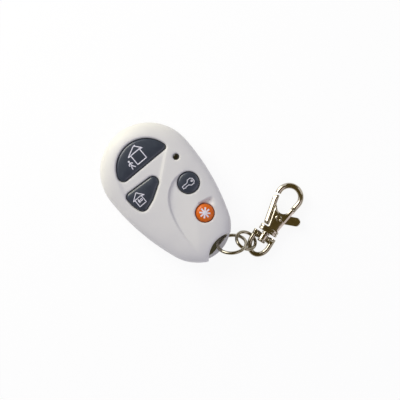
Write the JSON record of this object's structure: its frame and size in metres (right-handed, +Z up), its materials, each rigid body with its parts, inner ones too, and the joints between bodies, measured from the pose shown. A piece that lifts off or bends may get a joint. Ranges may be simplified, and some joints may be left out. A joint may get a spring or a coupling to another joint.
{
  "type": "alarm key fob",
  "caption": "Egg-shaped hand-held alarm remote with press keys, a status lamp and a ring lip at the tail, linked by wire rings to a swivelling trigger clip.",
  "frame": {"origin": "middle of the fob's length on the flat underside it lies on", "axes": "+X along the fob from its round head to its tail, +Y to the side the clip lies on, +Z up through the keys"},
  "size_m": [0.0723, 0.0593, 0.0133],
  "materials": {
    "shell_plastic": "satin moulded white",
    "key_plastic": "semi-gloss dark slate with printed marks",
    "panic_plastic": "semi-gloss orange with a printed mark",
    "lens_plastic": "dark tinted window",
    "plated_metal": "bright nickel plating",
    "lever_metal": "bright nickel plating",
    "spring_steel": "bright steel wire and screw",
    "board_laminate": "green laminate",
    "switch_plastic": "dark moulded body",
    "stem_plastic": "tan moulded stem",
    "led_plastic": "clear red",
    "chip_plastic": "black moulding compound",
    "can_metal": "drawn can",
    "wire_copper": "tinned copper wire",
    "cell_steel": "nickel-plated cell",
    "contact_metal": "spring bronze strip"
  },
  "bodies": {
    "fob": {"front_shell": "shell_plastic", "rear_shell": "shell_plastic", "case_screw": "spring_steel", "circuit_board": "board_laminate", "away_switch": "switch_plastic", "stay_switch": "switch_plastic", "disarm_switch": "switch_plastic", "panic_switch": "switch_plastic", "status_led": "led_plastic", "led_lens": "lens_plastic", "encoder_chip": "chip_plastic", "resonator_can": "can_metal", "antenna_loop": "wire_copper", "coin_cell": "cell_steel", "contact_positive": "contact_metal", "contact_negative": "contact_metal"},
    "away_key": {"away_button": "key_plastic", "away_stem": "stem_plastic"},
    "stay_key": {"stay_button": "key_plastic", "stay_stem": "stem_plastic"},
    "disarm_key": {"disarm_button": "key_plastic", "disarm_stem": "stem_plastic"},
    "panic_key": {"panic_button": "panic_plastic", "panic_stem": "stem_plastic"},
    "first_ring": {"fob_ring": "plated_metal"},
    "second_ring": {"link_ring": "plated_metal"},
    "bail": {"swivel_bail": "plated_metal"},
    "clip": {"clip_hook": "plated_metal", "swivel_post": "plated_metal", "clip_pin": "plated_metal", "clip_spring": "spring_steel"},
    "lever": {"clip_lever": "lever_metal"}
  },
  "joints": [
    {"name": "away_press", "type": "slide", "parent": "fob", "child": "away_key", "axis": [0, 0, -1], "range_m": [0, 0.0004], "stiffness_N_per_m": 400, "springref_m": -0.001},
    {"name": "stay_press", "type": "slide", "parent": "fob", "child": "stay_key", "axis": [0, 0, -1], "range_m": [0, 0.0004], "stiffness_N_per_m": 400, "springref_m": -0.001},
    {"name": "disarm_press", "type": "slide", "parent": "fob", "child": "disarm_key", "axis": [0, 0, -1], "range_m": [0, 0.0004], "stiffness_N_per_m": 400, "springref_m": -0.001},
    {"name": "panic_press", "type": "slide", "parent": "fob", "child": "panic_key", "axis": [0, 0, -1], "range_m": [0, 0.0004], "stiffness_N_per_m": 400, "springref_m": -0.001},
    {"name": "fob_ring_swing", "type": "hinge", "parent": "fob", "child": "first_ring", "pos_m": [0.02823, 0.00595, 0.0028], "axis": [-0.1923, 0.9813, 0], "range_deg": [-32, 12]},
    {"name": "link_ring_swing", "type": "hinge", "parent": "first_ring", "child": "second_ring", "pos_m": [0.03457, 0.01, 0.00645], "axis": [-0.2794, 0.6069, -0.744], "range_deg": [-2, 45]},
    {"name": "bail_swing", "type": "hinge", "parent": "second_ring", "child": "bail", "pos_m": [0.03701, 0.01195, 0.00362], "axis": [0.002, 0.7769, -0.6296], "range_deg": [0, 60]},
    {"name": "clip_swivel", "type": "hinge", "parent": "bail", "child": "clip", "pos_m": [0.0361, 0.0188, 0.00235], "axis": [-0.314, 0.9494, 0], "continuous": true},
    {"name": "lever_swing", "type": "hinge", "parent": "clip", "child": "lever", "pos_m": [0.03473, 0.02646, 0.00235], "axis": [0, 0, -1], "range_deg": [0, 25], "stiffness_Nm_per_rad": 0.01, "springref_deg": -28.65}
  ]
}
